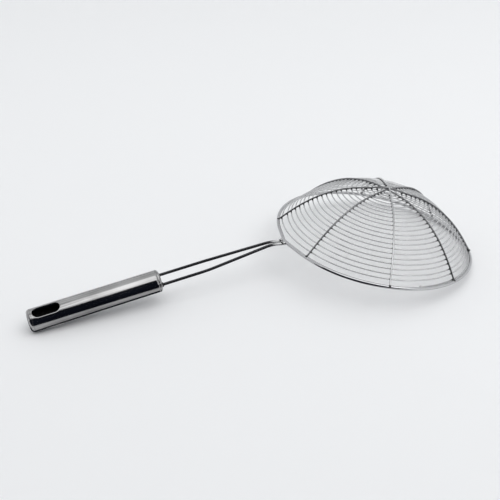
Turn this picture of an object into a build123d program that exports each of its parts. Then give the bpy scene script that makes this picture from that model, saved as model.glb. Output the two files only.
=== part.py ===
from build123d import *
from math import atan, copysign, cos, hypot, pi, radians, sin, sqrt
import os

os.makedirs("parts", exist_ok=True)

# A spider skimmer lying with its basket upside down, in millimetres.
# +X runs from the handle's butt to the basket's far side, +Z is up and z = 0 is the worktop.
# The far side of the rim and the butt of the handle touch the worktop, and x = 0 is midway.
# Angles round the basket are in degrees from +X towards +Y, so the handle is at 180.

# Basket rim, a wire ring drawn out to a blunt nose at the handle
basket_diameter = 180.0
basket_tilt = 10.0
rim_wire = 3.0
rim_sides = 8
nose_angle = 13.5
nose_round = 10.0

# Dome that the mesh wire lies on, from the rim's plane to its crown, which is pushed a little off the middle
dome_height = 46.2
dome_power = 2.465
crown_ahead = 0.87
crown_aside = -2.04

# Mesh, one wire wound from the rim to the crown
mesh_wire = 1.1
mesh_pitch = 4.4
mesh_start_angle = 267.0
mesh_lead = 0.4
mesh_lead_share = 0.33
mesh_eye = 4.4
mesh_sides = 3

# Ribs over the mesh, listed from the lowest at the crown to the highest
rib_wire = 1.5
rib_angles = (291.0, 199.5, 155.5, 248.5)
rib_station_shares = (0.25, 0.60, 1.0)
rib_set_down_share = 0.4
rib_landing_share = 0.5
rib_sides = 4

# Neck, two wires from the handle to the rim's nose
neck_wire = 2.5
neck_sides = 8
neck_spread = 10.4
neck_pinch = 4.6
neck_reach = 100.8
neck_straight = 41.0
neck_landing = 12.5
neck_drop = 1.5
neck_inside = 20.0
spread_bend_radius = 150.0
rim_bend_radius = 36.0

# Handle, a tube closed by two plugs and turned a little about its own axis
handle_diameter = 19.0
handle_length = 110.0
handle_wall = 0.8
handle_tilt = 6.0
handle_turn = 17.0
edge_slope = 2.0

# Hanging slot, with a lip turned into the tube
slot_length = 22.0
slot_width = 9.0
slot_from_butt = 4.5
lip_wall = 0.8
lip_depth = 1.6

# Fits and welds
seat = 0.05
hole_clearance = 0.05
cap_weld_leg = 1.0
cap_weld_taper = 40.0
neck_weld_bead = 3.0
overrun = 1.0

# Sizes that follow
rim_radius = rim_wire / 2
neck_radius = neck_wire / 2
handle_radius = handle_diameter / 2
bore_radius = handle_radius - handle_wall
flat_radius = handle_radius - edge_slope


def corner_reach(radius, sides):
    """From the middle to a corner of a polygon with as much area as a circle of that radius."""
    return radius * sqrt(2 * pi / sides / sin(2 * pi / sides))


# The rim's lowest corners lie on the worktop, and its farthest ones set the basket's diameter
rim_reach = corner_reach(rim_radius, rim_sides)
rim_foot = rim_reach * cos(pi / rim_sides - radians(basket_tilt))
ring_radius = basket_diameter / 2 - rim_reach * cos(pi / rim_sides)
nose_reach = 1 / cos(radians(nose_angle))
nose_radius = ring_radius * nose_reach - nose_round * (nose_reach - 1)

# The ribs lie on the mesh wire and end on the outer slope of the rim, which sets the dome's radius
mesh_reach = corner_reach(mesh_wire / 2, mesh_sides)
rib_radius = rib_wire / 2
rib_offset = rib_radius + mesh_reach + seat
rib_step = rib_wire * (1 - rib_set_down_share)
rib_overhang = rib_offset - rim_radius * rib_landing_share
dome_radius = ring_radius - rib_overhang / sin(atan(dome_power * dome_height / ring_radius))


def level_line(tilt):
    """A direction along the skimmer that rises by tilt towards the basket."""
    return Vector(cos(radians(tilt)), 0, sin(radians(tilt)))


# Where the basket, the neck's bend and the handle lie, first with the rim's centre at x = 0
across = Vector(0, 1, 0)
basket_along = level_line(-basket_tilt)
basket_up = basket_along.cross(across)
crown_push = basket_along * crown_ahead + across * crown_aside
handle_along = level_line(handle_tilt)
handle_up = handle_along.cross(across)
handle_side = across * cos(radians(handle_turn)) + handle_up * sin(radians(handle_turn))
slot_facing = handle_along.cross(handle_side)

rim_centre = Vector(0, 0, rim_foot - ring_radius * basket_along.Z)
neck_end = rim_centre - basket_along * nose_radius - basket_up * neck_drop
neck_bend = neck_end - basket_along * neck_landing
butt_height = handle_radius * handle_along.X - edge_slope * handle_along.Z
front_height = butt_height + handle_length * handle_along.Z
front_to_bend = sqrt(neck_reach**2 - (neck_bend.Z - front_height) ** 2)
front = Vector(neck_bend.X - front_to_bend, 0, front_height)
butt = front - handle_along * handle_length

# Then the whole skimmer is set midway over x = 0
far_end = rim_centre.X + ring_radius * basket_along.X + rim_foot
butt_end = butt.X - flat_radius * handle_along.Z
midway = Vector((far_end + butt_end) / 2, 0, 0)
rim_centre = rim_centre - midway
neck_end = neck_end - midway
neck_bend = neck_bend - midway
front = front - midway
butt = butt - midway
basket = Plane(origin=rim_centre, x_dir=basket_along, z_dir=basket_up)


def dome_rise(distance):
    """Height of the dome above the rim's plane at a distance from the basket's axis."""
    return dome_height * (1 - (abs(distance) / dome_radius) ** dome_power)


def dome_lean(distance):
    """Angle of the dome's slope there, below zero on the side away from the start."""
    steepness = dome_power * dome_height / dome_radius
    return copysign(atan(steepness * (abs(distance) / dome_radius) ** (dome_power - 1)), distance)


def outward(angle):
    """Direction from the basket's axis at an angle round it."""
    return basket_along * cos(radians(angle)) + across * sin(radians(angle))


def dome_place(angle, distance):
    """Place on the dome at an angle and a distance from its middle at that height."""
    pushed = crown_push * (1 - (distance / dome_radius) ** 2)
    return rim_centre + outward(angle) * distance + basket_up * dome_rise(distance) + pushed


def dome_climb(angle, distance):
    """Direction up the dome there, towards and past the crown."""
    lean = dome_lean(distance)
    pushing = crown_push * 2 * distance / dome_radius**2
    return ((pushing - outward(angle)) * cos(lean) + basket_up * sin(lean)).normalized()


def biarc(start, start_way, end, end_way):
    """Two arcs that leave start along start_way, meet smoothly and reach end along end_way."""
    chord = end - start
    ways = start_way + end_way
    spare = 4 - ways.dot(ways)
    reach = chord.dot(ways)
    handle = (sqrt(reach**2 + spare * chord.dot(chord)) - reach) / spare
    first_corner = start + start_way * handle
    second_corner = end - end_way * handle
    joint = (first_corner + second_corner) / 2
    first = TangentArc(start, joint, tangent=start_way)
    second = TangentArc(joint, end, tangent=second_corner - first_corner)
    return [first, second]


def wire_along(line, radius, sides):
    """Add a wire with flat sides along a line, with as much metal as a round one of that radius."""
    with BuildSketch(Plane(origin=line @ 0, x_dir=(line % 0).cross(basket_up), z_dir=line % 0)) as section:
        RegularPolygon(corner_reach(radius, sides), sides, rotation=180 / sides)
    sweep(section.sketch, path=line)


# Rim's line: most of a circle, and two tangents that meet in the rounded nose
tangent_x = -ring_radius * cos(radians(nose_angle))
tangent_y = ring_radius * sin(radians(nose_angle))
with BuildLine(basket) as rim_line:
    CenterArc((0, 0), ring_radius, 180 + nose_angle, 360 - 2 * nose_angle)
    FilletPolyline(
        (tangent_x, tangent_y),
        (-ring_radius * nose_reach, 0),
        (tangent_x, -tangent_y),
        radius=nose_round,
    )

with BuildPart() as rim_ring:
    wire_along(rim_line.wire(), rim_radius, rim_sides)
rim_ring.part.label = "rim_ring"
export_step(rim_ring.part, "parts/rim_ring.step")

# Room for the rim in what is coped to it
with BuildPart() as rim_room:
    wire_along(rim_line.wire(), rim_radius + seat, rim_sides)


# Ribs: each is an arch from rim to rim, raised at the crown over the rib below it
def rib_line(angle, layer):
    """Line of a rib, from the rim at an angle, over the crown, to the rim opposite."""
    distances = [dome_radius * share for share in reversed(rib_station_shares)]
    distances += [0] + [-distance for distance in reversed(distances)]
    places = []
    ways = []
    for distance in distances:
        way = dome_climb(angle, distance)
        places.append(dome_place(angle, distance) + outward(angle + 90).cross(way) * rib_offset)
        ways.append(way)
    crown = len(rib_station_shares)
    places[crown] += basket_up * rib_step * layer
    with BuildLine() as line:
        for index in range(len(places) - 1):
            biarc(places[index], ways[index], places[index + 1], ways[index + 1])
    return line.wire()


rib_lines = [rib_line(angle, layer) for layer, angle in enumerate(rib_angles)]
for layer, line in enumerate(rib_lines):
    with BuildPart() as rib_wire_part:
        wire_along(line, rib_radius, rib_sides)
        add(rim_room.part, mode=Mode.SUBTRACT)
        if layer:
            with BuildPart(mode=Mode.PRIVATE) as lower_room:
                wire_along(rib_lines[layer - 1], rib_radius + seat, rib_sides)
            add(lower_room.part, mode=Mode.SUBTRACT)
    rib_name = f"rib_wire_{layer + 1}"
    rib_wire_part.part.label = rib_name
    export_step(rib_wire_part.part, f"parts/{rib_name}.step")

# Mesh wire: it starts level against the rim, steps in late in its first turn and winds on at a steady pitch
march_steps = 40


def climbed(distance, run):
    """Distance from the axis after a run up the dome, stepped along its slope."""
    for _ in range(march_steps):
        distance -= run / march_steps * cos(dome_lean(distance))
    return distance


def slope_length():
    """Length of the dome's slope from the rim's plane to the crown."""
    length = 0
    for step in range(march_steps):
        length += dome_radius / march_steps / cos(dome_lean(dome_radius * (step + 0.5) / march_steps))
    return length


mesh_distance = dome_radius
mesh_run = 0
while hypot(ring_radius - mesh_distance, dome_rise(mesh_distance)) < rim_reach + mesh_reach + seat:
    mesh_distance = climbed(mesh_distance, seat)
    mesh_run += seat
half_turns = int(2 * (slope_length() - mesh_run - mesh_lead - mesh_eye) / mesh_pitch)
mesh_runs = (
    (mesh_pitch + mesh_lead) * mesh_lead_share,
    (mesh_pitch + mesh_lead) * (1 - mesh_lead_share),
    mesh_pitch / 2,
)
mesh_places = []
mesh_ways = []
for half in range(half_turns + 1):
    angle = mesh_start_angle + 180 * half
    slant = mesh_pitch / 2 / pi / mesh_distance if half else 0
    mesh_places.append(dome_place(angle, mesh_distance))
    mesh_ways.append((outward(angle + 90) + dome_climb(angle, mesh_distance) * slant).normalized())
    mesh_distance = climbed(mesh_distance, mesh_runs[min(half, 2)])

mesh_arcs = []
with BuildLine() as mesh_line:
    for index in range(half_turns):
        start, end = mesh_places[index : index + 2]
        mesh_arcs += biarc(start, mesh_ways[index], end, mesh_ways[index + 1])

# Each turn has four arcs, so an arc's nearest neighbours are three to five arcs on
gaps = []
for index, arc in enumerate(mesh_arcs):
    for neighbour in mesh_arcs[index + 3 : index + 6]:
        gaps += [neighbour.distance_to(arc @ 0), neighbour.distance_to(arc @ 0.5)]
print(f"mesh: {half_turns / 2} turns, least gap to itself {min(gaps) - 2 * mesh_reach:.2f} mm")
print(f"mesh: tightest arc {min(arc.radius for arc in mesh_arcs):.2f} mm")

with BuildPart() as mesh_spiral:
    wire_along(mesh_line.wire(), mesh_wire / 2, mesh_sides)
mesh_spiral.part.label = "mesh_spiral"
export_step(mesh_spiral.part, "parts/mesh_spiral.step")


# Neck wires: straight out of the handle, drawn together, then level with each other to the nose
def neck_line(side):
    """Line of one neck wire, with side 1 for the left wire and -1 for the right one."""
    spread = handle_side * neck_spread / 2 * side
    pinch = across * neck_pinch / 2 * side
    with BuildLine() as line:
        FilletPolyline(
            front - handle_along * neck_inside + spread,
            front + handle_along * neck_straight + spread,
            neck_bend + pinch,
            neck_end + pinch,
            radius=[spread_bend_radius, rim_bend_radius],
        )
    return line.wire()


for side, neck_name in ((1, "neck_wire_left"), (-1, "neck_wire_right")):
    with BuildPart() as neck_wire_part:
        wire_along(neck_line(side), neck_radius, neck_sides)
        add(rim_room.part, mode=Mode.SUBTRACT)
    neck_wire_part.part.label = neck_name
    export_step(neck_wire_part.part, f"parts/{neck_name}.step")

# Room for the neck wires in the caps and welds
with BuildPart() as neck_room:
    wire_along(neck_line(1), neck_radius + hole_clearance, neck_sides)
    wire_along(neck_line(-1), neck_radius + hole_clearance, neck_sides)

# Beads in the corner between the top of each neck wire and the outside of the rim
with BuildPart() as neck_weld:
    corner = neck_end - basket_along * rim_radius + basket_up * neck_radius
    for side in (1, -1):
        middle = corner + across * neck_pinch / 2 * side
        with BuildSketch(Plane(origin=middle, x_dir=basket_along, z_dir=across)) as bead_end:
            RegularPolygon(neck_weld_bead / 2, neck_sides, rotation=180 / neck_sides)
        extrude(bead_end.sketch, amount=neck_wire / 2, both=True)
    add(rim_room.part, mode=Mode.SUBTRACT)
    add(neck_room.part, mode=Mode.SUBTRACT)
neck_weld.part.label = "neck_weld"
export_step(neck_weld.part, "parts/neck_weld.step")

# Handle tube with its slot: a lip ring cut to the tube's curve, the tube, then the hole through both
tube_plane = Plane(origin=butt + handle_along * (edge_slope + seat), x_dir=handle_side, z_dir=handle_along)
tube_length = handle_length - 2 * (edge_slope + seat)
slot_middle = butt + handle_along * (slot_from_butt + slot_length / 2)
slot_plane = Plane(origin=slot_middle, x_dir=handle_along, z_dir=slot_facing)

with BuildPart() as handle_tube:
    with BuildSketch(slot_plane):
        SlotOverall(slot_length + 2 * lip_wall, slot_width + 2 * lip_wall)
    extrude(amount=handle_radius + overrun, both=True)
    with BuildSketch(tube_plane):
        Circle(handle_radius)
    extrude(amount=tube_length, mode=Mode.INTERSECT)
    with BuildSketch(tube_plane):
        Circle(bore_radius - lip_depth)
    extrude(amount=tube_length, mode=Mode.SUBTRACT)
    with BuildSketch(tube_plane):
        Circle(handle_radius)
        Circle(bore_radius, mode=Mode.SUBTRACT)
    extrude(amount=tube_length)
    with BuildSketch(slot_plane):
        SlotOverall(slot_length, slot_width)
    extrude(amount=handle_radius + overrun, both=True, mode=Mode.SUBTRACT)
handle_tube.part.label = "handle_tube"
export_step(handle_tube.part, "parts/handle_tube.step")


# Caps: end plates with a sloped edge, welded to the tube's ends
def cap_body(face, inward):
    """Add a cap to the part, with the middle of its outer face and the direction into the tube."""
    with BuildSketch(Plane(origin=face, x_dir=handle_side, z_dir=handle_side.cross(inward))) as half:
        with BuildLine():
            Polyline((0, 0), (flat_radius, 0), (handle_radius, edge_slope), (0, edge_slope), close=True)
        make_face()
    revolve(half.sketch, axis=Axis(face, inward))


with BuildPart() as butt_cap:
    cap_body(butt, handle_along)
butt_cap.part.label = "butt_cap"
export_step(butt_cap.part, "parts/butt_cap.step")

with BuildPart() as front_cap:
    cap_body(front, -handle_along)
    add(neck_room.part, mode=Mode.SUBTRACT)
front_cap.part.label = "front_cap"
export_step(front_cap.part, "parts/front_cap.step")

# Beads round the neck wires where they come out of the front cap
neck_corner = corner_reach(neck_radius + hole_clearance, neck_sides)
with BuildPart() as cap_weld:
    for side in (1, -1):
        foot = front + handle_along * seat + handle_side * neck_spread / 2 * side
        with BuildSketch(Plane(origin=foot, x_dir=handle_side, z_dir=handle_along)) as bead_foot:
            RegularPolygon(neck_corner + cap_weld_leg, neck_sides, rotation=180 / neck_sides)
        extrude(bead_foot.sketch, amount=cap_weld_leg, taper=cap_weld_taper)
    add(neck_room.part, mode=Mode.SUBTRACT)
cap_weld.part.label = "cap_weld"
export_step(cap_weld.part, "parts/cap_weld.step")
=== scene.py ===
import math

import bmesh
import bpy
import numpy as np
from mathutils import Matrix, Vector


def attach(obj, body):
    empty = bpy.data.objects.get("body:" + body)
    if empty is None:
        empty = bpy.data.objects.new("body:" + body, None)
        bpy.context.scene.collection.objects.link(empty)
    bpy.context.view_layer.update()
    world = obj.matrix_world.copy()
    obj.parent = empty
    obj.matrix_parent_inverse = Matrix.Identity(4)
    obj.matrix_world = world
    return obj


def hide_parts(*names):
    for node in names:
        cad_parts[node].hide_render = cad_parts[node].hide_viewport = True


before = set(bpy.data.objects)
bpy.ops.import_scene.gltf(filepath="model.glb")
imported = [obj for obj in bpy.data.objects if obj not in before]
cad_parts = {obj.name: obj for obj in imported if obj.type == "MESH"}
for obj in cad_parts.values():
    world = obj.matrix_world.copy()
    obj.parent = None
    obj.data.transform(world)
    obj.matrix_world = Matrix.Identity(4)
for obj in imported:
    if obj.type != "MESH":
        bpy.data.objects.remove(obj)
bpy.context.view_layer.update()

# A spider skimmer lying with its bowl upside down, in the frame's own axes: +X from the handle's butt
# to the bowl's far side, +Z up, the worktop at z = 0. The pieces are worked out in millimetres and put
# into their meshes in metres. The camera, the finishes and the studio are in metres
print("skimmer: the frame is in")

millimetre = 0.001
quarterTurn, halfTurn, fullTurn = math.pi / 2, math.pi, 2 * math.pi

cameraView = {
    "azimuth": -21.57,      # degrees, 0 looks along +Y
    "elevation": 32.98,     # degrees above the worktop
    "roll": -0.21,          # degrees
    "place": (-0.21801, -0.52680, 0.39867),
    "focalShare": 1.57906,  # focal length over the frame's width
    "sensor": 36.0,
    "clip": (0.01, 50),
}


def makeCamera(values):
    azimuth, elevation, roll = (math.radians(values[key]) for key in ("azimuth", "elevation", "roll"))
    level = math.cos(elevation)
    back = Vector((math.sin(azimuth) * level, -math.cos(azimuth) * level, math.sin(elevation)))
    sideways = (-back).cross(Vector((0, 0, 1))).normalized()
    upright = sideways.cross(-back)
    right = sideways * math.cos(roll) + upright * math.sin(roll)
    top = upright * math.cos(roll) - sideways * math.sin(roll)
    facing = Matrix((right, top, back)).transposed().to_4x4()
    data = bpy.data.cameras.new("photoCamera")
    data.sensor_width = values["sensor"]
    data.lens = values["focalShare"] * values["sensor"]
    data.clip_start, data.clip_end = values["clip"]
    camera = bpy.data.objects.new("photoCamera", data)
    camera.matrix_world = Matrix.Translation(Vector(values["place"])) @ facing
    bpy.context.scene.collection.objects.link(camera)
    bpy.context.scene.camera = camera


makeCamera(cameraView)
bpy.context.scene.view_settings.view_transform = "Standard"
print("skimmer: the camera stands")


# Shader maths: a socket with arithmetic, and one method that adds any other node
class Socket:
    def __init__(self, tree, output=None):
        self.tree, self.output = tree, output

    def add(self, kind, settings=None, sockets=None, output=0):
        made = self.tree.nodes.new(kind)
        for name, value in (settings or {}).items():
            if name == "stops":  # (place, grey) pairs of a colour ramp
                ramp = made.color_ramp.elements
                while len(ramp) < len(value):
                    ramp.new(0.5)
                for stop, (place, grey) in zip(ramp, value):
                    stop.position, stop.color = place, (grey, grey, grey, 1)
            else:
                setattr(made, name, value)
        for name, value in (sockets or {}).items():
            if isinstance(value, Socket):
                self.tree.links.new(value.output, made.inputs[name])
            else:
                made.inputs[name].default_value = value
        return Socket(self.tree, made.outputs[output] if len(made.outputs) else None)

    def maths(self, operation, first, second):
        return self.add("ShaderNodeMath", {"operation": operation}, {0: first, 1: second})

    def __add__(self, other):
        return self.maths("ADD", self, other)

    def __radd__(self, other):
        return self.maths("ADD", other, self)

    def __sub__(self, other):
        return self.maths("SUBTRACT", self, other)

    def __rsub__(self, other):
        return self.maths("SUBTRACT", other, self)

    def __mul__(self, other):
        return self.maths("MULTIPLY", self, other)

    def __rmul__(self, other):
        return self.maths("MULTIPLY", other, self)

    def noise(self, scale, detail):  # read at this socket's place
        return self.add("ShaderNodeTexNoise", {}, {"Vector": self, "Scale": scale, "Detail": detail})

    def spread(self, low, high):  # 0 up to low, 1 from high
        return self.add("ShaderNodeValToRGB", {"stops": ((low, 0.0), (high, 1.0))}, {"Fac": self})

    def blend(self, first, second):  # this socket's value takes a colour from first to second
        return self.add("ShaderNodeMix", {"data_type": "RGBA"}, {0: self, 6: first, 7: second}, 2)


def newTree(holder):
    holder.use_nodes = True
    holder.node_tree.nodes.clear()
    return Socket(holder.node_tree)


# Where the skimmer's parts lie, and which way they face. Tilts and turns are in degrees
layout = {
    "rimCentre": (111.706, 0, 16.918),
    "bowlTilt": 10.0,
    "neckEnd": (22.053, 0, 31.203),
    "neckBend": (9.743, 0, 33.374),
    "front": (-90.262, 0, 20.737),
    "butt": (-199.659, 0, 9.239),
    "handleTilt": 6.0,
    "handleTurn": 17.0,
}
tilt, lift, turn = (math.radians(layout[key]) for key in ("bowlTilt", "handleTilt", "handleTurn"))
rimCentre, neckEnd, neckBend, front, butt = (
    np.array(layout[key], float) for key in ("rimCentre", "neckEnd", "neckBend", "front", "butt"))
across = np.array([0.0, 1.0, 0.0])
bowlAlong = np.array([math.cos(tilt), 0, -math.sin(tilt)])
bowlUp = np.array([math.sin(tilt), 0, math.cos(tilt)])
handleAlong = np.array([math.cos(lift), 0, math.sin(lift)])
handleUp = np.array([-math.sin(lift), 0, math.cos(lift)])
handleSide = across * math.cos(turn) + handleUp * math.sin(turn)
slotFacing = np.cross(handleAlong, handleSide)

dome = {
    "radius": 87.393,
    "height": 46.2,
    "power": 2.465,
    "crownPush": (0.87, -2.04),  # the crown is pressed a little off the middle
}


def unit(vectors):
    return vectors / np.linalg.norm(vectors, axis=-1, keepdims=True)


def equalAngles(count):  # round a full turn
    return np.arange(count) / count * fullTurn


# Rays round a circle: the first way by the cosine and the second by the sine of equal angles
def spokes(first, second, count):
    angles = equalAngles(count)[:, None]
    return first * np.cos(angles) + second * np.sin(angles)


# Ripple of a hand-made shape: a few sines of the place on it, each weaker and at a later phase
def ripple(place, size, cycles, phaseStep=1.9):
    return size * sum(np.sin(cycle * place + phaseStep * index) / (1 + index)
                      for index, cycle in enumerate(cycles))


# Slope of the dome at a share of its radius: the derivative of its height
def steepness(share):
    return dome["power"] * dome["height"] / dome["radius"] * share ** (dome["power"] - 1)


# The dome: height falls with the power of the distance from the axis, and the middle drifts to the pushed
# crown with one less the square of the same distance. Raised points leave it square to the slope
def domePoint(angle, distance, raised=0.0):
    share = np.abs(distance) / dome["radius"]
    ray = bowlAlong * np.cos(angle)[..., None] + across * np.sin(angle)[..., None]
    side = across * np.cos(angle)[..., None] - bowlAlong * np.sin(angle)[..., None]
    rise = dome["height"] * (1 - share ** dome["power"])
    lean = np.arctan(steepness(share)) * np.sign(distance)
    push = (bowlAlong * dome["crownPush"][0] + across * dome["crownPush"][1]) * (1 - share ** 2)[..., None]
    climb = bowlUp * np.sin(lean)[..., None] - ray * np.cos(lean)[..., None]
    surface = rimCentre + ray * distance[..., None] + bowlUp * rise[..., None] + push
    return surface + np.cross(side, climb) * np.asarray(raised)[..., None]


# A mesh from rings of points: quads between neighbouring rings, and a pole or a loop at the ends
def ringMesh(rings, loop=False, poles=True):
    count, sides = rings.shape[:2]
    points = rings.reshape(-1, 3)
    rows = np.arange(count if loop else count - 1)[:, None]
    columns = np.arange(sides)[None, :]
    start, after, beside = rows * sides, (rows + 1) % count * sides, (columns + 1) % sides
    quads = np.stack([start + columns, start + beside, after + beside, after + columns], -1)
    faces = quads.reshape(-1, 4).tolist()
    if poles and not loop:
        spots = np.arange(sides)
        ahead = (spots + 1) % sides
        first, last, lastRing = len(points), len(points) + 1, len(points) - sides
        points = np.vstack([points, rings[0].mean(0), rings[-1].mean(0)])
        faces += np.stack([np.full(sides, first), ahead, spots], -1).tolist()
        faces += np.stack([lastRing + spots, lastRing + ahead, np.full(sides, last)], -1).tolist()
    return points, faces


crispTurn = math.radians(50)  # edges that turn by more stay crisp


def makePiece(name, meshes, material, replaced=()):
    points, faces, offset = [], [], 0
    for some, polygons in meshes:
        points.append(some)
        faces += [[index + offset for index in face] for face in polygons]
        offset += len(some)
    mesh = bpy.data.meshes.new(name)
    mesh.from_pydata((np.vstack(points) * millimetre).tolist(), [], faces)
    mesh.polygons.foreach_set("use_smooth", np.ones(len(faces), bool))
    mesh.set_sharp_from_angle(angle=crispTurn)
    mesh.materials.append(material)
    piece = bpy.data.objects.new(name, mesh)
    bpy.context.scene.collection.objects.link(piece)
    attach(piece, "root")
    if replaced:
        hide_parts(*replaced)
    return piece


# A wire: a circle carried along a path, square to it. At a rounded end it goes on by the sine of a quarter
# turn and shrinks by the cosine, up to just short of a point
def wireRings(path, radius, reference, sides, loop=False, endRings=3, endShare=0.96):
    ways = unit(np.roll(path, -1, 0) - np.roll(path, 1, 0) if loop else np.gradient(path, axis=0))
    radii = np.full(len(path), float(radius))
    reference = np.broadcast_to(reference, path.shape)
    if not loop:
        turns = np.linspace(0, quarterTurn, endRings + 1)[1:] * endShare
        ahead, shrink = np.sin(turns)[:, None], radius * np.cos(turns)
        start, end = path[0] - ways[0] * radius * ahead, path[-1] + ways[-1] * radius * ahead
        path = np.vstack([start[::-1], path, end])
        radii = np.concatenate([shrink[::-1], radii, shrink])
        ends = ((endRings, endRings), (0, 0))
        ways, reference = np.pad(ways, ends, mode="edge"), np.pad(reference, ends, mode="edge")
    first = unit(reference - ways * (reference * ways).sum(1)[:, None])
    circle = spokes(first[:, None], np.cross(ways, first)[:, None], sides)
    return path[:, None] + circle * radii[:, None, None]


# A path through corners, each rounded with its own radius, then laid out in equal steps
def roundedPath(corners, radii, step, bendPoints=24):
    stretch = [corners[0][None]]
    for before, corner, after, radius in zip(corners, corners[1:], corners[2:], radii):
        come, leave = unit(corner - before), unit(after - corner)
        bend = math.acos(float(np.clip(come @ leave, -1, 1)))
        start = corner - come * radius * math.tan(bend / 2)
        inward = unit(leave - come * (come @ leave))
        angles = np.linspace(0, bend, bendPoints)[:, None]
        stretch.append(start + radius * (come * np.sin(angles) + inward * (1 - np.cos(angles))))
    stretch.append(corners[-1][None])
    return evenSteps(np.vstack(stretch), step)


# Points at equal lengths along a path
def evenSteps(path, step, loop=False):
    if loop:
        path = np.vstack([path, path[:1]])
    reach = np.concatenate([[0], np.cumsum(np.linalg.norm(np.diff(path, axis=0), axis=1))])
    stations = np.linspace(0, reach[-1], int(round(reach[-1] / step)) + 1)
    laid = np.stack([np.interp(stations, reach, path[:, axis]) for axis in range(3)], -1)
    return laid[:-1] if loop else laid


# A bead: an egg with three half-axes, swollen by a sine of the angle round it times one of the angle from
# its pole
def beadMesh(middle, axes, sizes, rows=8, sides=14, rough=0.10, phase=0.0, lobes=(3, 2)):
    polar = (np.arange(rows) + 0.5) / rows * halfTurn
    polar, sweep = np.meshgrid(polar, equalAngles(sides), indexing="ij")
    swell = 1 + rough * np.sin(lobes[0] * sweep + phase) * np.sin(lobes[1] * polar + phase)
    local = np.stack([np.sin(polar) * np.cos(sweep), np.sin(polar) * np.sin(sweep), -np.cos(polar)], -1)
    return ringMesh(middle + (local * swell[..., None] * np.asarray(sizes)) @ np.asarray(axes))


# Steel: two tones under a slow noise and the streaks of drawing or polish, and a fine bump
def steelMaterial(name, values):
    material = bpy.data.materials.new(name)
    root = newTree(material)
    place = root.add("ShaderNodeTexCoord", output="Object")
    turned = root.add("ShaderNodeMapping", {}, {"Vector": place, "Rotation": values["rotation"]})
    drawn = root.add("ShaderNodeMapping", {}, {"Vector": turned, "Scale": values["stretch"]})
    cloud = place.noise(values["cloudScale"], values["cloudDetail"])
    streak = drawn.noise(values["streakScale"], values["streakDetail"])
    speck = place.noise(values["speckScale"], values["speckDetail"])
    share = values["streakShare"]
    tone = cloud.spread(*values["cloudSpread"]) * (1 - share) + streak.spread(*values["streakSpread"]) * share
    colour = tone.blend((*values["dark"], 1), (*values["light"], 1))
    # A painted highlight: past a place on the x axis the colour turns to a paler grey
    if "highlightEnd" in values:  # from where to where on the x axis it turns paler, and to what grey
        start, stop, grey = values["highlightEnd"]
        along = root.add("ShaderNodeSeparateXYZ", {}, {"Vector": place})
        near = root.add("ShaderNodeMapRange", {}, {"Value": along, "From Min": start, "From Max": stop})
        colour = near.blend(colour, (grey, grey, grey, 1))
    uneven = (cloud - 0.5) * values["cloudRoughness"]
    roughness = values["roughness"] + (streak - 0.5) * values["streakRoughness"] + uneven
    height = streak * values["streakHeight"] + speck * values["speckHeight"]
    bump = root.add("ShaderNodeBump", {}, {
        "Height": height, "Strength": values["bump"], "Distance": values["bumpDepth"]})
    surface = root.add("ShaderNodeBsdfPrincipled", {}, {
        "Base Color": colour, "Metallic": 1.0, "Roughness": roughness, "Normal": bump})
    root.add("ShaderNodeOutputMaterial", {}, {"Surface": surface})
    return material


# What all steels share, and below it what each one changes or adds. Some tones paint light and shade: the
# ribs, the neck and the pale weld
plainSteel = {
    "roughness": 0.13,
    "streakRoughness": 0.10,  # how much the streaks and the clouds change it
    "cloudRoughness": 0.08,
    "streakShare": 0.4,       # share of the streaks in the tone, the rest is the clouds'
    "rotation": (0, 0, 0),
    "stretch": (1, 1, 1),
    "cloudScale": 60,
    "cloudDetail": 3.0,
    "cloudSpread": (0.35, 0.7),
    "streakScale": 1000,
    "streakDetail": 4.0,
    "streakSpread": (0.3, 0.7),
    "speckScale": 2500,
    "speckDetail": 2.0,
    "streakHeight": 0.6,
    "speckHeight": 0.4,
    "bump": 0.10,
    "bumpDepth": 0.0001,
}
handleTurnBack = Matrix((tuple(handleAlong), tuple(handleSide), tuple(slotFacing))).to_euler()
tonesAndPaintedLight = {
    "rim": {
        "dark": (0.44, 0.44, 0.45), "light": (0.58, 0.58, 0.59),
        "streakRoughness": 0.06, "streakScale": 900, "bump": 0.12,
    },
    "mesh": {
        "dark": (0.52, 0.52, 0.525), "light": (0.68, 0.68, 0.685),
        "roughness": 0.16, "streakRoughness": 0.12, "cloudRoughness": 0.10,
        "cloudScale": 40, "streakScale": 1200, "speckScale": 3000,
    },
    # The ribs' dark tone is painted shade: dark reflections along the wires
    "rib": {
        "dark": (0.13, 0.13, 0.135), "light": (0.27, 0.27, 0.275),
        "roughness": 0.16, "cloudScale": 50,
    },
    # The neck's near-black tone is a painted dark reflection
    "neck": {
        "dark": (0.02, 0.02, 0.023), "light": (0.05, 0.05, 0.054),
        "highlightEnd": (0.0090, 0.0150, 0.52),
        "streakRoughness": 0.08, "cloudRoughness": 0.06,
        "stretch": (0.05, 1, 1), "streakScale": 1500,
        "streakHeight": 0.7, "speckHeight": 0.3,
    },
    "handle": {
        "dark": (0.19, 0.185, 0.185), "light": (0.50, 0.495, 0.495),
        "cloudRoughness": 0.06, "streakShare": 0.75,
        "rotation": tuple(handleTurnBack), "stretch": (0.02, 1, 1),
        "cloudScale": 45, "streakScale": 700, "speckScale": 3000,
        "streakHeight": 0.8, "speckHeight": 0.2,
    },
    "weld": {
        "dark": (0.008, 0.008, 0.008), "light": (0.05, 0.05, 0.05),
        "roughness": 0.38, "streakRoughness": 0.15, "cloudRoughness": 0.15,
        "cloudScale": 400, "streakScale": 1500, "speckScale": 4000,
        "streakHeight": 0.5, "speckHeight": 0.5, "bump": 0.25,
    },
}
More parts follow.
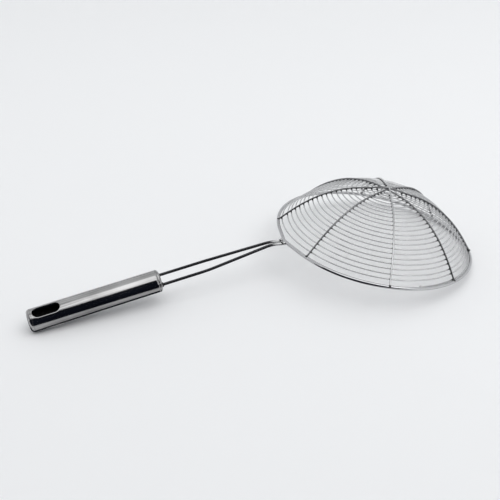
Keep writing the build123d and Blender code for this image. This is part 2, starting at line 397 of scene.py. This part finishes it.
alike = {
    "inside": ("weld", {"dark": (0.02, 0.02, 0.02), "light": (0.06, 0.06, 0.06), "roughness": 0.6}),
    # The pale weld is a lit copy of the weld steel; on the nose beads its paleness is a painted highlight
    "paleWeld": ("weld", {"dark": (0.38, 0.38, 0.38), "light": (0.66, 0.66, 0.66), "roughness": 0.26}),
    # The paler rib is a lit copy of the rib steel: a painted highlight
    "paleRib": ("rib", {"dark": (0.40, 0.40, 0.405), "light": (0.56, 0.56, 0.565)}),
}
tonesAndPaintedLight.update({name: {**tonesAndPaintedLight[other], **changes} for name, (other, changes) in alike.items()})
steel = {name: steelMaterial(name + "Steel", {**plainSteel, **own}) for name, own in tonesAndPaintedLight.items()}
print("skimmer: the steels are mixed")

# Rim: a round wire in a circle with a blunt nose at the handle. It is a little higher here and there
rim = {
    "wire": 3.0,
    "line": 88.5,          # radius of the wire's middle line
    "noseAngle": 13.5,     # degrees from the nose to where the circle begins
    "noseRound": 10.0,
    "noseStep": 0.5,
    "circlePoints": 400,
    "wobble": 0.25,
    "wobbleCycles": (2, 3, 5),
    "sides": 24,
    "step": 2.0,
}


def basketPoint(x, y):  # in the rim's plane
    return rimCentre + bowlAlong * np.asarray(x)[..., None] + across * np.asarray(y)[..., None]


# The rim's line: the nose is the corner of two tangents to the circle, rounded, and the circle is the rest
def rimPath(values):
    nose, line = math.radians(values["noseAngle"]), values["line"]
    x, y = -line * math.cos(nose), line * math.sin(nose)
    corners = [basketPoint(x, y), basketPoint(-line / math.cos(nose), 0.0), basketPoint(x, -y)]
    tip = roundedPath(corners, [values["noseRound"]], values["noseStep"])
    angles = np.linspace(halfTurn + nose, halfTurn + fullTurn - nose, values["circlePoints"])[1:-1]
    circle = basketPoint(line * np.cos(angles), line * np.sin(angles))
    path = evenSteps(np.vstack([tip, circle]), values["step"], loop=True)
    angles = np.arctan2(path[:, 1], (path - rimCentre) @ bowlAlong)
    return path + bowlUp * np.abs(ripple(angles, values["wobble"], values["wobbleCycles"]))[:, None]


rimRings = wireRings(rimPath(rim), rim["wire"] / 2, bowlUp, rim["sides"], loop=True)
makePiece("rimWire", [ringMesh(rimRings, loop=True)], steel["rim"], ["rim_ring"])
print("skimmer: the rim is bent")

# Mesh: one wire wound on the dome. Its run up the slope is read from the table for the first turn,
# then grows by the pitch each turn
meshWire = {
    "wire": 1.1,
    "startAngle": 267.0,   # degrees
    "startDistance": 86.4,
    "firstTurns": (0.0, 0.05, 0.35, 0.70, 0.80, 1.0),
    "firstRuns": (-0.5, 0.0, 0.7, 1.6, 3.7, 4.9),
    "pitch": 4.4,
    "eye": 4.4,
    "unevenness": 0.16,
    "unevenCycles": (1.37, 2.61, 4.13),
    "smoothed": 9,         # points over which the run is evened out
    "perTurn": 96,
    "sides": 10,
}


# Length up the slope from the crown, against the distance from the axis
def slopeTable(reach=1.02, points=4000):
    distances = np.linspace(0, dome["radius"] * reach, points)
    steep = steepness(distances / dome["radius"])
    lengths = np.cumsum(np.hypot(1, (steep[1:] + steep[:-1]) / 2) * np.diff(distances))
    return distances, np.concatenate([[0], lengths])


# The mesh's line: the angle grows with the turns, and the run up the slope gives the distance from the axis
def meshPath(values):
    distances, lengths = slopeTable()
    whole, firstRun = np.interp(values["startDistance"], distances, lengths), values["firstRuns"][-1]
    last = (whole - values["eye"] - firstRun) / values["pitch"] + 1
    turns = np.linspace(0, last, int(last * values["perTurn"]))
    runs = np.where(turns < 1, np.interp(turns, values["firstTurns"], values["firstRuns"]),
                    firstRun + (turns - 1) * values["pitch"])
    kernel = np.hanning(values["smoothed"] + 2)[1:-1]
    padded = np.pad(runs, values["smoothed"] // 2, mode="edge")
    runs = np.convolve(padded, kernel / kernel.sum(), mode="valid")
    uneven = ripple(turns * fullTurn, values["unevenness"], values["unevenCycles"])
    distance = np.interp(whole - (runs + uneven * np.clip(turns, 0, 1)), lengths, distances)
    angle = math.radians(values["startAngle"]) + turns * fullTurn
    return domePoint(angle, distance), angle, distance


meshLine, meshAngles, meshDistances = meshPath(meshWire)
meshRings = wireRings(meshLine, meshWire["wire"] / 2, bowlUp, meshWire["sides"])
makePiece("meshWire", [ringMesh(meshRings)], steel["mesh"], ["mesh_spiral"])
print("skimmer: the mesh is wound, turns", round(float(meshAngles[-1] - meshAngles[0]) / fullTurn, 1))

# Ribs: four arches over the mesh, each raised at the crown over the one below it
ribs = {
    "wire": 1.5,
    "angles": (291.0, 199.5, 155.5, 248.5),  # degrees, from the lowest rib at the crown to the highest
    "onMesh": 1.33,       # from the mesh wire's middle to the rib's middle
    "onRim": 1.75,        # the same where the rib ends on the rim
    "rimShare": 0.94,     # where it starts to swing out to the rim
    "crownStep": 0.9,     # how much higher each rib passes the crown
    "crownReach": 21.0,
    "pale": 3,            # the one painted brighter: a painted highlight
    "points": 140,
    "sides": 14,
    "step": 1.5,
}


# A rib's line: straight across the dome, raised by a square towards the rim and by half a cosine at the crown
def ribPath(values, angle, layer):
    distance = np.linspace(dome["radius"], -dome["radius"], values["points"])
    share = np.abs(distance) / dome["radius"]
    swing = np.clip((share - values["rimShare"]) / (1 - values["rimShare"]), 0, 1) ** 2
    raised = values["onMesh"] + (values["onRim"] - values["onMesh"]) * swing
    near = np.clip(np.abs(distance) / values["crownReach"], 0, 1)
    raised = raised + layer * values["crownStep"] * (0.5 + 0.5 * np.cos(halfTurn * near))
    return evenSteps(domePoint(np.full(distance.shape, angle), distance, raised), values["step"])


ribEnds = []
for layer, angle in enumerate(np.radians(ribs["angles"])):
    path = ribPath(ribs, angle, layer)
    ribEnds += [(path[0], unit(path[0] - path[1])), (path[-1], unit(path[-1] - path[-2]))]
    side = across * math.cos(angle) - bowlAlong * math.sin(angle)
    rings = wireRings(path, ribs["wire"] / 2, side, ribs["sides"])
    # Three ribs take the dark steel, painted shade, and one the paler copy, a painted highlight
    wire = steel["paleRib" if layer == ribs["pale"] else "rib"]
    makePiece(f"ribWire{layer + 1}", [ringMesh(rings)], wire, [f"rib_wire_{layer + 1}"])
print("skimmer: the ribs are laid over")

# Weld spots: a small bead where each turn of the mesh passes under a rib, a larger one at each rib's end,
# and one at the mesh's start. Each has three half-axes
spots = {
    "crossing": (1.05, 1.05, 0.7),
    "crossingRaised": 0.62,
    "crossingAbove": 2.0,    # a place higher up, which gives the way up
    "crossingNearest": 9.0,  # none nearer to the axis
    "crossingRows": 4,
    "crossingSides": 8,
    "ribEnd": (1.3, 1.2, 1.1),
    "ribEndBack": 0.2,
    "meshStart": (0.9, 1.5, 0.8),
    "meshStartAside": 0.3,
}


# The mesh passes under an arm of a rib wherever its angle is the arm's and a whole number of turns
def spotMeshes(values):
    meshes = []
    turnsDone = np.degrees(meshAngles) / 360
    slant = bowlAlong + 0.01 * across  # never in line with a bead's own axis
    for arm in [angle % 360 for angle in ribs["angles"]] + [(angle + 180) % 360 for angle in ribs["angles"]]:
        begin, end = math.ceil(turnsDone[0] - arm / 360), math.floor(turnsDone[-1] - arm / 360)
        distances = np.interp(arm / 360 + np.arange(begin, end + 1), turnsDone, meshDistances)
        distances = distances[distances > values["crossingNearest"]]
        angles = np.full(distances.shape, math.radians(arm))
        middles = domePoint(angles, distances, values["crossingRaised"])
        above = domePoint(angles, distances, values["crossingAbove"])
        for middle, up in zip(middles, unit(above - middles)):
            side = unit(np.cross(up, slant))
            meshes.append(beadMesh(middle, [side, np.cross(up, side), up], values["crossing"],
                                   values["crossingRows"], values["crossingSides"], 0.0))
    return meshes


def endBeads(values):
    meshes = []
    for index, (end, way) in enumerate(ribEnds):
        side = unit(np.cross(way, bowlUp))
        middle, axes = end - way * values["ribEndBack"], [side, np.cross(way, side), way]
        meshes.append(beadMesh(middle, axes, values["ribEnd"], phase=float(index)))
    return meshes


def startBead(values):
    way = unit(meshLine[0] - meshLine[1])
    side = unit(np.cross(way, bowlUp))
    middle, axes = meshLine[0] + side * values["meshStartAside"], [side, way, np.cross(side, way)]
    return beadMesh(middle, axes, values["meshStart"], phase=2.0)


makePiece("meshSpots", spotMeshes(spots), steel["weld"])
makePiece("ribEndBeads", endBeads(spots), steel["weld"])
makePiece("meshStartBead", [startBead(spots)], steel["paleWeld"])
print("skimmer: the weld spots are set")

# Neck: two wires, straight out of the handle, drawn together, then level with each other to the nose
neck = {
    "wire": 2.5,
    "spread": 10.4,        # between the wires' middles at the handle
    "pinch": 4.6,          # the same at the nose
    "straight": 41.0,
    "inside": 6.0,         # how far they go into the handle
    "bends": (150.0, 36.0),
    "sides": 20,
    "step": 1.5,
    "noseBead": (1.5, 1.9, 1.35),
    "noseBeadRows": 12,
    "noseBeadSides": 20,
    "noseBeadRough": 0.12,
    "noseSink": 0.1,
    # The nose spots are painted shade: dark beads at the welds' shadowed edges
    "noseSpot": (1.0, 1.3, 0.7),
    "noseSpotBack": 3.2,   # from the wire's end
    "noseSpotUp": 0.9,
    "capBead": 1.0,
    "capBeadOut": 0.4,
}


def neckPath(values, side):
    spread, pinch = handleSide * values["spread"] / 2 * side, across * values["pinch"] / 2 * side
    start, straight = front - handleAlong * values["inside"], front + handleAlong * values["straight"]
    corners = [start + spread, straight + spread, neckBend + pinch, neckEnd + pinch]
    return roundedPath(corners, values["bends"], values["step"])


# Bead round a wire: a quarter round turned about it, rippled as it goes round
def collarMesh(foot, inner, leg, phase, sides=28, rough=0.12, lobes=5, steps=7, sink=0.1, brim=0.9):
    swell = leg * (1 + rough * np.sin(lobes * equalAngles(sides) + phase))
    turns = np.linspace(0, quarterTurn, steps)
    out = np.concatenate([np.cos(turns), [0, 0]])
    high = np.concatenate([np.sin(turns), [brim, 0.0]])
    radius = inner - sink + out[:, None] * swell
    rings = foot + spokes(handleSide, slotFacing, sides) * radius[..., None]
    return ringMesh(rings + handleAlong * (high[:, None] * swell)[..., None], loop=True)


noseCorner = neckEnd - bowlAlong * rim["wire"] / 2 + bowlUp * (neck["wire"] / 2 - neck["noseSink"])
shadeSpotFoot = neckEnd - bowlAlong * neck["noseSpotBack"] + bowlUp * neck["noseSpotUp"]
bowlAxes = [bowlAlong, across, bowlUp]
noseBeads, noseShadeSpots, collars = [], [], []
for side, name in ((1, "left"), (-1, "right")):
    rings = wireRings(neckPath(neck, side), neck["wire"] / 2, np.array([0.0, 0.0, 1.0]), neck["sides"])
    makePiece("neckWire" + name.capitalize(), [ringMesh(rings)], steel["neck"],
              ["neck_wire_" + name])
    pinch = across * neck["pinch"] / 2 * side
    noseBeads.append(beadMesh(noseCorner + pinch, bowlAxes, neck["noseBead"], neck["noseBeadRows"],
                              neck["noseBeadSides"], neck["noseBeadRough"], 1.0 + side))
    noseShadeSpots.append(beadMesh(shadeSpotFoot + pinch, bowlAxes, neck["noseSpot"], phase=2.0 + side))
    foot = front + handleAlong * neck["capBeadOut"] + handleSide * neck["spread"] / 2 * side
    collars.append(collarMesh(foot, neck["wire"] / 2, neck["capBead"], side))
# The nose beads' pale steel is a painted highlight
makePiece("neckBeads", noseBeads, steel["paleWeld"], ["neck_weld"])
# Dark beads in the weld steel: painted shade at the welds' shadowed edges
makePiece("neckShadeSpots", noseShadeSpots, steel["weld"])
makePiece("capBeads", collars, steel["weld"], ["cap_weld"])
print("skimmer: the neck is welded")

# Handle: a tube with two slots whose lips turn in, and a cap at each end. A cap's two values are its round
# edge, and the slope in degrees where its dome begins
handle = {
    "radius": 9.5,
    "length": 110.0,
    "buttRound": (3.0, 8.0),
    "frontRound": (2.2, 14.0),
    "seam": 0.12,
    "wall": 0.8,
    "slotFrom": 4.5,
    "slotLength": 22.0,
    "slotWidth": 9.0,
    "lipRound": 0.9,
    "lipDepth": 2.4,
    "lipRings": 8,
    "windowFrom": 3.25,   # the stretch of the tube that a slot's mesh takes up
    "windowTo": 31.0,
    "windowSteps": 36,
    "windowRings": 9,
    "windowEase": 1.3,    # the rings crowd towards the slot by this power
    "around": 32,         # steps over a quarter of the tube
    "tubeRings": 40,
    "capSides": 96,
    "capDomeRings": 8,
    "capEdgeRings": 10,
    "capPole": 0.04,      # the dome's first ring, as a share of its slope
    "capHollow": 0.5,     # radius of the last ring, inside
}


def onTube(along, aside, facing):  # along from the butt, aside and facing from the tube's middle line
    along, aside, facing = along[..., None], aside[..., None], facing[..., None]
    return butt + handleAlong * along + handleSide * aside + slotFacing * facing


# Plain stretch of the tube: a grid of places along it and angles round it
def tubeStretch(alongs, angles):
    along, angle = np.meshgrid(alongs, angles, indexing="ij")
    points = onTube(along, handle["radius"] * np.sin(angle), handle["radius"] * np.cos(angle))
    rows, columns = along.shape
    row, column = np.meshgrid(np.arange(rows - 1), np.arange(columns - 1), indexing="ij")
    start = row * columns + column
    quads = np.stack([start + columns, start + columns + 1, start + 1, start], -1)
    return points.reshape(-1, 3), quads.reshape(-1, 4).tolist()


# Window of the tube with its slot: rings that go from the window's edge to the slot's outline,
# then over the lip's quarter round and down its wall
def slotWindow(alongs, angles, facing):
    edge = math.sin(angles[-1]) * handle["radius"]
    sines = np.sin(angles) * handle["radius"]
    bounds = ((np.full(len(sines), alongs[0]), sines), (alongs, np.full(len(alongs), edge)),
              (np.full(len(sines), alongs[-1]), sines[::-1]), (alongs[::-1], np.full(len(alongs), -edge)))
    outline = np.vstack([np.stack(bound, -1)[:-1] for bound in bounds])
    half, lip = handle["slotWidth"] / 2, handle["lipRound"]
    centre = handle["slotFrom"] + handle["slotLength"] / 2
    straight = handle["slotLength"] / 2 - half
    nearest = np.clip(outline[:, 0], centre - straight, centre + straight)
    spine = np.stack([nearest, np.zeros(len(outline))], -1)
    away = unit(outline - spine)
    brim = spine + away * (half + lip)
    shares = np.linspace(1, 0, handle["windowRings"])[:, None, None] ** handle["windowEase"]
    flat = brim + (outline - brim) * shares
    turns = np.linspace(0, quarterTurn, handle["lipRings"])[1:, None, None]
    curved = spine + away * (half + lip * (1 - np.sin(turns)))
    rings = np.concatenate([flat, curved, (spine + away * half)[None]])
    sunk = lip * (1 - np.cos(turns[:, 0, 0]))
    depths = np.concatenate([np.zeros(len(flat)), sunk, [handle["lipDepth"]]])
    height = np.sqrt(handle["radius"] ** 2 - rings[..., 1] ** 2) - depths[:, None]
    return ringMesh(onTube(rings[..., 0], rings[..., 1] * facing, height * facing), poles=False)


def makeTube():
    eighthTurn = quarterTurn / 2
    angles = np.linspace(-eighthTurn, eighthTurn, handle["around"] + 1)
    window = np.linspace(handle["windowFrom"], handle["windowTo"], handle["windowSteps"] + 1)
    start = handle["buttRound"][0] + handle["seam"]
    end = handle["length"] - handle["frontRound"][0] - handle["seam"]
    before = np.array([start, handle["windowFrom"]])
    after = np.linspace(handle["windowTo"], end, handle["tubeRings"])
    meshes = []
    for centre, facing in ((0, 1), (halfTurn, -1)):
        meshes += [tubeStretch(before, angles + centre), tubeStretch(after, angles + centre),
                   slotWindow(window, angles, facing)]
        whole = np.concatenate([before[:-1], window[:-1], after])
        meshes.append(tubeStretch(whole, angles + centre + quarterTurn))
    tube = makePiece("handleTube", meshes, steel["handle"], ["handle_tube"])
    shape = bmesh.new()
    shape.from_mesh(tube.data)
    bmesh.ops.remove_doubles(shape, verts=shape.verts, dist=millimetre / 100)
    bmesh.ops.recalc_face_normals(shape, faces=shape.faces)
    if max(shape.faces, key=lambda face: face.calc_center_median().z).normal.z < 0:
        bmesh.ops.reverse_faces(shape, faces=shape.faces)
    shape.to_mesh(tube.data)
    shape.free()
    tube.data.materials.append(steel["inside"])
    wall = tube.modifiers.new("wall", "SOLIDIFY")
    wall.thickness = handle["wall"] * millimetre
    wall.offset = -1
    wall.material_offset = 1


# Cap: a half outline turned about the handle's middle line. A shallow dome runs over into a round edge,
# and their slopes are the same where they meet
def capMesh(face, inward, edge, slope):
    slope, rest = math.radians(slope), handle["radius"] - edge
    domeRadius = (rest + edge * math.sin(slope)) / math.sin(slope)
    crown = edge * (1 - math.cos(slope)) - domeRadius * (1 - math.cos(slope))
    over = np.linspace(handle["capPole"], 1, handle["capDomeRings"])[:-1] * slope
    turns = np.linspace(slope, quarterTurn, handle["capEdgeRings"])
    radii = [domeRadius * np.sin(over), rest + edge * np.sin(turns), [rest, handle["capHollow"]]]
    depths = [crown + domeRadius * (1 - np.cos(over)), edge * (1 - np.cos(turns)), [edge, edge]]
    radii, depths = np.concatenate(radii)[:, None, None], np.concatenate(depths)[:, None, None]
    ray = spokes(handleSide, np.cross(inward, handleSide), handle["capSides"])
    return ringMesh(face + ray * radii + inward * depths)


makeTube()
buttMesh = capMesh(butt, handleAlong, *handle["buttRound"])
frontMesh = capMesh(front, -handleAlong, *handle["frontRound"])
makePiece("buttCap", [buttMesh], steel["handle"], ["butt_cap"])
makePiece("frontCap", [frontMesh], steel["handle"], ["front_cap"])
print("skimmer: the handle is closed")

# Studio: a pale floor that curves up to a wall all round, two wide soft lights overhead,
# and dark flags that the steel shows. The front one also keeps light off the shadows
studio = {
    "floor": (0.870, 0.870, 0.878),
    "floorMottle": 0.995,
    "floorCloudScale": 3.0,
    "floorRoughness": 0.9,
    "floorGloss": 0.2,
    "floorSides": 72,
    "flatRings": (0.2, 0.8, 1.5),
    "flatRadius": 2.2,
    "curveRadius": 0.8,
    "curveRings": 12,
    "wallHeight": 1.6,
    "sky": (0.97, 0.99, 1.0),
    "skyStrength": 0.86,
    "keyPlace": (0.0, -0.55, 2.20),     # a wide one overhead
    "keySize": (3.6, 1.5),
    "keyPower": 15.5,
    "stripPlace": (0.7, -2.0, 2.20),    # a smaller and brighter one before it
    "stripSize": (1.8, 1.8),
    "stripPower": 14.0,
    "flag": (0.010, 0.012, 0.020),
    "frontFlag": ((-2.2, 0), (0.40, 0), (0.40, 0.50), (0.24, 0.80), (0.18, 1.15), (-2.2, 1.25)),  # x and z
    "frontFlagPlace": -1.0,
    # The floor flag is a painted dark reflection: a dark sheet just over the pale floor that only the steel
    # sees
    "floorFlag": ((-2.2, -1.0), (0.40, -1.0), (0.04, -0.030), (-0.11, -0.034), (-0.26, -0.022),
                  (-2.2, -0.022)),      # x and y
    "floorFlagLift": 0.002,
    # The under flag is painted shade: a dark sheet under the handle that only the steel sees, for the shadow
    # beneath it
    "underFlag": ((-0.208, -0.008), (-0.084, -0.012), (-0.084, 0.04), (-0.208, 0.04)),
    "underFlagLift": 0.0004,
    "leftFlag": ((-1.0, 0), (-0.2, 0), (-0.2, 1.1), (-1.0, 1.1)),  # y and z
    "leftFlagPlace": -1.0,
}


def floorMaterial(values):
    material = bpy.data.materials.new("paleFloor")
    root = newTree(material)
    place = root.add("ShaderNodeTexCoord", output="Object")
    cloud = root.add("ShaderNodeTexNoise", {}, {"Vector": place, "Scale": values["floorCloudScale"]})
    darker = [part * values["floorMottle"] for part in values["floor"]]
    tone = cloud.blend((*darker, 1), (*values["floor"], 1))
    surface = root.add("ShaderNodeBsdfPrincipled", {}, {
        "Base Color": tone, "Roughness": values["floorRoughness"],
        "Specular IOR Level": values["floorGloss"]})
    root.add("ShaderNodeOutputMaterial", {}, {"Surface": surface})
    return material


def stageObject(name, points, faces, material):
    mesh = bpy.data.meshes.new(name)
    mesh.from_pydata(np.asarray(points).tolist(), [], faces)
    mesh.polygons.foreach_set("use_smooth", np.ones(len(faces), bool))
    mesh.materials.append(material)
    made = bpy.data.objects.new(name, mesh)
    bpy.context.scene.collection.objects.link(made)
    return made


# Floor: a disc, then a quarter round turned about the middle, then a straight wall
def makeFloor(values):
    turns = np.linspace(0, quarterTurn, values["curveRings"])
    flat, inner, curve = values["flatRings"], values["flatRadius"], values["curveRadius"]
    radii = np.concatenate([flat, inner + curve * np.sin(turns), [inner + curve]])
    heights = np.concatenate([np.zeros(len(flat)), curve * (1 - np.cos(turns)), [values["wallHeight"]]])
    ray = spokes(np.array([1, 0, 0]), np.array([0, -1, 0]), values["floorSides"])
    rings = ray * radii[:, None, None] + np.array([0, 0, 1]) * heights[:, None, None]
    points, faces = ringMesh(rings, poles=False)
    faces.append(list(range(values["floorSides"]))[::-1])
    stageObject("floor", points, faces, floorMaterial(values))


def makeFlag(name, corners, colour, shades):
    material = bpy.data.materials.new(name)
    root = newTree(material)
    glow = root.add("ShaderNodeEmission", {}, {"Color": (*colour, 1), "Strength": 1.0})
    root.add("ShaderNodeOutputMaterial", {}, {"Surface": glow})
    flag = stageObject(name, corners, [list(range(len(corners)))], material)
    flag.visible_camera = flag.visible_transmission = False
    flag.visible_diffuse = flag.visible_shadow = shades


def makeLight(name, place, size, power):  # it faces straight down
    data = bpy.data.lights.new(name, "AREA")
    data.shape, data.size, data.size_y, data.energy = "RECTANGLE", size[0], size[1], power
    lamp = bpy.data.objects.new(name, data)
    lamp.location = place
    bpy.context.scene.collection.objects.link(lamp)


makeFloor(studio)
for name, corners, shades in (
        ("frontFlag", [(x, studio["frontFlagPlace"], z) for x, z in studio["frontFlag"]], True),
        ("floorFlag", [(x, y, studio["floorFlagLift"]) for x, y in studio["floorFlag"]], False),
        ("underFlag", [(x, y, studio["underFlagLift"]) for x, y in studio["underFlag"]], False),
        ("leftFlag", [(studio["leftFlagPlace"], y, z) for y, z in studio["leftFlag"]], False)):
    makeFlag(name, corners, studio["flag"], shades)
makeLight("keyLight", studio["keyPlace"], studio["keySize"], studio["keyPower"])
makeLight("stripLight", studio["stripPlace"], studio["stripSize"], studio["stripPower"])
world = bpy.data.worlds.new("studioSky")
bpy.context.scene.world = world
sky = newTree(world)
glow = sky.add("ShaderNodeBackground", {}, {"Color": (*studio["sky"], 1), "Strength": studio["skyStrength"]})
sky.add("ShaderNodeOutputWorld", {}, {"Surface": glow})
print("skimmer: the studio is lit")

bpy.context.view_layer.update()
